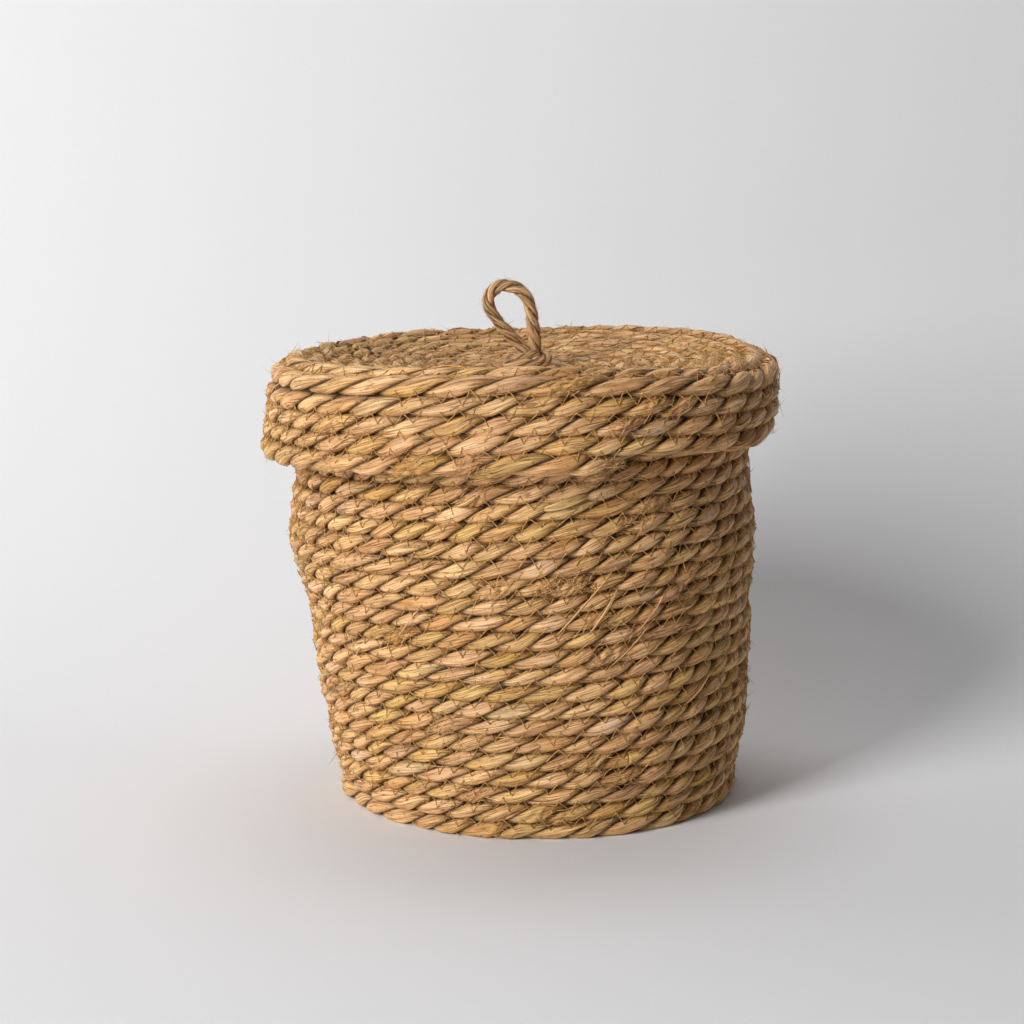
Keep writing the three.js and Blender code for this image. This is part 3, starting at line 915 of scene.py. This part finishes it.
def smooth_line(points, step):
    """Evenly spaced points on a smooth curve through the given ones (Catmull-Rom)."""
    p = np.array(points, float)
    p = np.concatenate([[2 * p[0] - p[1]], p, [2 * p[-1] - p[-2]]])
    t = np.linspace(0, 1, 40, endpoint=False)[:, None]
    parts = []
    for a, b, c, d in zip(p[:-3], p[1:-2], p[2:-1], p[3:]):
        parts.append(b + 0.5 * t * (c - a + t * (2 * a - 5 * b + 4 * c - d + t * (3 * (b - c) + d - a))))
    line = np.concatenate(parts + [p[-2:-1]])
    run = distances(line)
    even = np.arange(int(run[-1] / step) + 1) * step
    return between(even, run, line)


def cord(points, facing, seed, taper=0.0):
    """Three-ply cord through points given in the lid's own frame, in millimetres."""
    centre = lid_point(smooth_line(np.array(points) * MM, JUTE_TWIST.step))
    facing = np.broadcast_to(facing(centre) if callable(facing) else np.array(facing, float), centre.shape)
    run = np.arange(len(centre)) * JUTE_TWIST.step
    size = 1 + 0.05 * wander(run, 9 * MM, seed)
    if taper:
        size = size * (0.45 + 0.55 * smoothstep(np.minimum(run, run[-1] - run) / taper))
    return Rope(centre, facing, CORD, CORD, JUTE_TWIST, JUTE, seed, size, turn=run)


KNOT_MIDDLE = np.array([2.3 * MM, 0, 8 * MM])


def from_axis(points):
    """Directions away from the middle of the upper knot, mostly sideways."""
    away = points - lid_point(KNOT_MIDDLE)
    away[..., 2] *= 0.4
    return unit(away)


# centrelines in the lid's own frame, in millimetres from the middle of its rim
LOOP = [(3.4, -1.4, 3.5), (1.6, -1.0, 9.0), (-5.2, 0, 17.0), (-10.4, 0.3, 22.8), (-14.1, 0.5, 28.2),
        (-16.4, 0.5, 32.5), (-16.5, 0.3, 36.4), (-14.0, 0, 40.3), (-9.4, 0, 42.5), (-4.4, 0, 41.9),
        (0.6, 0, 39.2), (3.4, 0, 34.6), (4.9, 0.2, 29.4), (5.5, 0.4, 23.0), (6.3, 0.5, 16.3), (6.2, 0.6, 9.5),
        (4.4, 0.6, 3.5)]
KNOT = [(-3.0, -1.0, 4.8), (-7.2, -3.4, 3.5), (-2.5, -6.6, 3.1), (3.5, -7.2, 3.0), (9.4, -5.2, 3.7),
        (11.7, -0.7, 5.3), (9.6, 4.4, 5.8), (3.8, 7.2, 5.2), (-2.5, 6.2, 4.8), (-5.8, 1.6, 5.0),
        (-4.2, -2.6, 5.5), (1.0, -4.4, 6.0), (6.2, -3.4, 7.2), (7.6, 0.6, 6.0)]
STEMS = [[(-2.5, 0, -13), (-2.5, 0, -4), (-2.4, 0, 0), (-1.6, -0.4, 6.5)],
         [(2.5, 0, -13), (2.5, 0, -4), (2.4, 0, 0), (3.0, 0.4, 6.5)]]
STOPPER = [(-2, 0, -9), (-7, -2, -9.3), (-3, -6.2, -9.6), (4, -6, -10.2), (7.4, -0.6, -11), (3.5, 5.6, -12.2),
           (-3.2, 5.8, -13.2), (-7.2, 0.4, -13.6), (-3, -5.4, -14), (3, -5, -14.2), (4.5, 0, -14.6)]
TAILS = [[(-2.4, 0, -13), (-3.2, -0.6, -17), (-5, -1.2, -21), (-8.5, -1.4, -24)],
         [(2.6, 0.4, -13), (3.2, 1, -17), (4.4, 1.6, -21), (7, 2, -25)]]


def cord_hairs(name, rope, count, seed):
    """Short lint all round a jute cord."""
    rng = np.random.default_rng(seed)
    turn = rng.uniform(0, rope.turn[-1], count)
    section = rng.uniform(0, TURN, count)
    standing = rng.random(count) < 0.2
    length = np.where(standing, rng.uniform(1.5, 6, count), rng.uniform(1.5, 4, count)) * MM
    radius = np.where(standing, 0.05 * MM, rng.uniform(0.05, 0.11, count) * MM)
    return hairs(name, rope, turn, section, length, radius, np.where(standing, 0.6, 0.12), rng, slant=0.2)


def bend_at_pivot(piece):
    """Bakes the loop's placement into its mesh, without attaching it to a body."""
    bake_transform(piece)


def add_cord(name, points, facing, seed, node, lint_count, taper=0.0):
    rope = cord(points, facing, seed, taper)
    for piece, material, stands_for in ((rope.piece(name), jute, [node]),
                                        (cord_hairs(name + "_lint", rope, lint_count, seed), lint, [])):
        piece.data.materials.append(material)
        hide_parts(*stands_for)
        if node == "handle_loop":
            bend_at_pivot(piece)
        else:
            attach(piece, "handle_knots")


add_cord("handle_loop_cord", LOOP, (0, -1, 0), 5000, "handle_loop", 1900)
add_cord("handle_knot_cord", KNOT, from_axis, 5100, "upper_knot", 1200, taper=5 * MM)
for number, leg in enumerate(STEMS):
    add_cord(f"handle_leg_{number + 1}", leg, (0, -1, 0), 5200 + number, "cord_stem", 30)
add_cord("stopper_knot_cord", STOPPER, from_axis, 5300, "stopper_knot", 600, taper=4 * MM)
for number, tail in enumerate(TAILS):
    add_cord(f"stopper_tail_{number + 1}", tail, (0, -1, 0), 5400 + number, "stopper_knot", 60)


# -------- stage, light and camera
SWEEP_START = 0.05  # where the paper behind the basket begins to curve up
SWEEP_BEND = 0.41


def paper_material():
    """White backdrop paper that can't be seen from behind."""
    shading = Shading("pale_paper")
    position = shading.add("NewGeometry")
    tooth = shading.add("TexNoise", None, (), Vector=position, Scale=900.0, Detail=2.0)
    shader = shading.add("BsdfPrincipled", None, (), Roughness=0.95, Specular_IOR_Level=0.2,
                         Base_Color=shading.ramp(tooth, (0.3, (0.82, 0.82, 0.83)), (0.7, (0.84, 0.84, 0.85))))
    clear = shading.add("BsdfTransparent")
    mixed = shading.add("MixShader", None, (position.node.outputs["Backfacing"], shader, clear))
    shading.add("OutputMaterial", None, (), Surface=mixed)
    return shading.material


def backdrop():
    half_width, near, height = 4.0, -3.0, 3.0
    arc = [(SWEEP_START + SWEEP_BEND * math.sin(a), SWEEP_BEND * (1 - math.cos(a)))
           for a in np.linspace(0, math.pi / 2, 48)]
    outline = [(near, 0.0)] + arc + [(SWEEP_START + SWEEP_BEND, height)]
    verts = [(x, y, z) for y, z in outline for x in (-half_width, half_width)]
    faces = [(2 * i, 2 * i + 1, 2 * i + 3, 2 * i + 2) for i in range(len(outline) - 1)]
    mesh = bpy.data.meshes.new("backdrop")
    mesh.from_pydata(verts, [], faces)
    for polygon in mesh.polygons:
        polygon.use_smooth = True
    mesh.materials.append(paper_material())
    added("backdrop", mesh)


def softbox(name, place, target, width, height, power):
    light = bpy.data.lights.new(name, "AREA")
    light.shape = "RECTANGLE"
    light.size, light.size_y = width, height
    light.energy = power
    lamp = added(name, light)
    lamp.location = place
    lamp.rotation_euler = (Vector(target) - Vector(place)).to_track_quat("-Z", "Y").to_euler()
    lamp.visible_camera = False


def around(azimuth, elevation, distance, height):
    """A place seen from the basket at an azimuth left of the camera, in degrees."""
    a, e = math.radians(azimuth), math.radians(elevation)
    return (-math.sin(a) * math.cos(e) * distance, -math.cos(a) * math.cos(e) * distance,
            math.sin(e) * distance + height)


backdrop()
softbox("key", around(42, 24.7, 2.18, 0.12), (0, 0, 0.12), 0.645, 1.62, 45)
softbox("top", (0, 0.38, 1.6), (0, 0.381, 0), 0.76, 0.76, 4.8)
FILL, SEEN_WORLD = 0.07, 0.6
world = bpy.data.worlds.new("studio")
world.use_nodes = True
background = world.node_tree.nodes["Background"]
background.inputs["Color"].default_value = (0.97, 0.98, 1.0, 1)
# a dim fill light, which shows as pale as the paper where the camera looks past the backdrop
seen = world.node_tree.nodes.new("ShaderNodeLightPath")
strength = world.node_tree.nodes.new("ShaderNodeMapRange")
strength.inputs["To Min"].default_value = FILL
strength.inputs["To Max"].default_value = SEEN_WORLD
world.node_tree.links.new(seen.outputs["Is Camera Ray"], strength.inputs["Value"])
world.node_tree.links.new(strength.outputs["Result"], background.inputs["Strength"])
bpy.context.scene.world = world
bpy.context.scene.view_settings.view_transform = "Standard"

camera_data = bpy.data.cameras.new("camera")
camera_data.lens = 72.9
camera_data.sensor_width = 36
camera_down = math.radians(9.29)
camera = added("camera", camera_data)
camera.location = (-5.5 * MM, -1.0425, 0.3115)
camera.rotation_euler = (math.pi / 2 - camera_down, 0, 0)
bpy.context.scene.camera = camera
